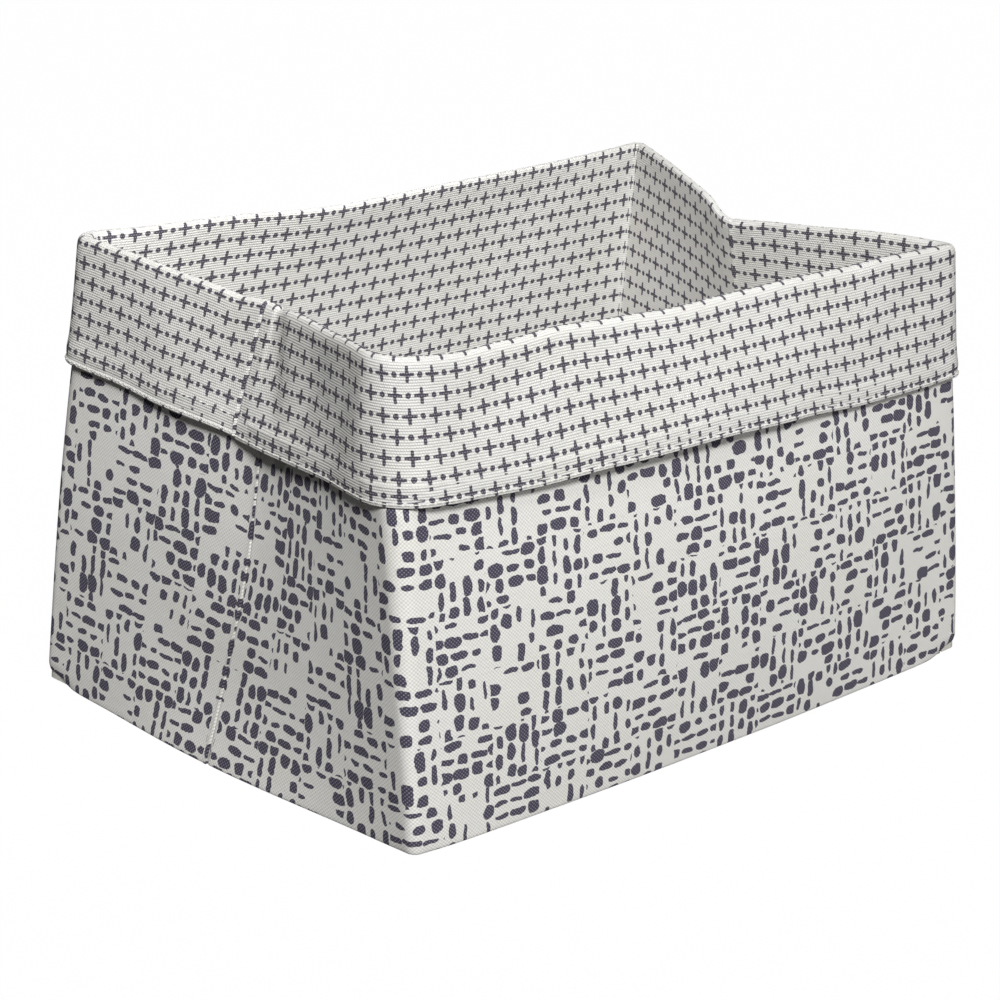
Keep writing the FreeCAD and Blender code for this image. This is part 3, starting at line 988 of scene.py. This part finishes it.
def sew(name, part, stretch, side, start, stop, row):
    bm = bmesh.new()
    count = round(abs(stop - start) / STITCH_STEP)
    for i in range(count):
        u = start + (i + 0.5) * (stop - start) / count
        place = Matrix.Translation((u, row, 0.00012)) @ Matrix.Diagonal((*STITCH, 1))
        place = place @ Matrix.Rotation(math.pi / 2, 4, "Y")
        bmesh.ops.create_uvsphere(bm, u_segments=6, v_segments=4, radius=1, matrix=place)
    piece = finish_piece(name, bm, lambda flat: lay(flat, part, CUFF_PROFILE, "cuff"), part == "rear", sewing_thread)
    fasten(piece, part, stretch, side)
    return count


stitches = sum(sew(f"{name}_hem_stitches", part, stretch, side, start, stop, stitch_row)
               for part in ("rear", "front") for name, side, stretch, start, stop in stretches(part))
print("hem sewn with", stitches, "stitches")

# %% [markdown]
# ## Floor and light
# No lamp is seen in the picture, so its tones set these lights. One wide light stands in front, above the camera and
# to the left, so the hem casts a shadow. Two small card lights above the rim stand for the white bounce inside, a
# fill lights the front evenly, and a weak room light keeps the back from going dark. The floor and the sky look
# white to the camera. The floor mixes a plain glow with a lit white, so that a faint shadow stays on it.

# %% Light the studio
FLOOR_GLOW = 0.985                              # share of the plain glow in what the camera sees


def make_floor():
    f = Finish("studio_floor")
    f.tree.nodes.clear()
    seen = f.node("ShaderNodeLightPath").outputs["Is Camera Ray"]
    tone = f.node("ShaderNodeMapRange")
    dial(tone, To_Min=0.12, To_Max=0.92)
    f.wire(seen, tone.inputs["Value"])
    lit = f.feed("ShaderNodeBsdfDiffuse", tone.outputs[0])[0]
    glow = f.node("ShaderNodeEmission").outputs[0]
    f.feed("ShaderNodeOutputMaterial", f.feed("ShaderNodeMixShader", f.times(seen, FLOOR_GLOW), lit, glow)[0])
    return f.material


bm = bmesh.new()
bmesh.ops.create_grid(bm, x_segments=1, y_segments=1, size=6)
mesh = bpy.data.meshes.new("studio_floor")
bm.to_mesh(mesh)
bm.free()
mesh.materials.append(make_floor())
studio_floor = put("studio_floor", mesh)


def soft_light(name, spot, aim, size, watts, spread=180):
    lamp = bpy.data.lights.new(name, "AREA")
    lamp.shape, lamp.size, lamp.energy, lamp.spread = "DISK", size, watts, math.radians(spread)
    made = put(name, lamp)
    spot, aim = Vector(spot), Vector(aim)
    made.matrix_world = Matrix.Translation(spot) @ (spot - aim).to_track_quat("Z", "Y").to_matrix().to_4x4()


soft_light("window_light", (-3.05, -4.20, 4.70), (0, 0, 0.10), 1.8, 460)
soft_light("inner_card_light", (-0.22, -0.20, 0.62), (0.03, 0.10, 0.17), 0.3, 0.36, 70)
soft_light("back_wall_card_light", (0.02, -0.04, 0.40), (-0.09, 0.12, 0.12), 0.16, 0.04, 70)
soft_light("room_light", (2.4, 2.8, 2.0), (0, 0, 0.10), 2.4, 30)
soft_light("front_fill_light", (0.55, -3.9, 1.5), (0, 0, 0.10), 2.0, 28)
world = bpy.context.scene.world = bpy.data.worlds.new("studio_world")
world.use_nodes = True
sky = world.node_tree
background = sky.nodes["Background"]
seen, level = sky.nodes.new("ShaderNodeLightPath"), sky.nodes.new("ShaderNodeMapRange")
dial(level, To_Min=0.02, To_Max=1.0)
dial(background, Color=(1, 1, 1, 1))
sky.links.new(seen.outputs["Is Camera Ray"], level.inputs["Value"])
sky.links.new(level.outputs["Result"], background.inputs["Strength"])
bpy.context.scene.view_settings.view_transform = "Standard"
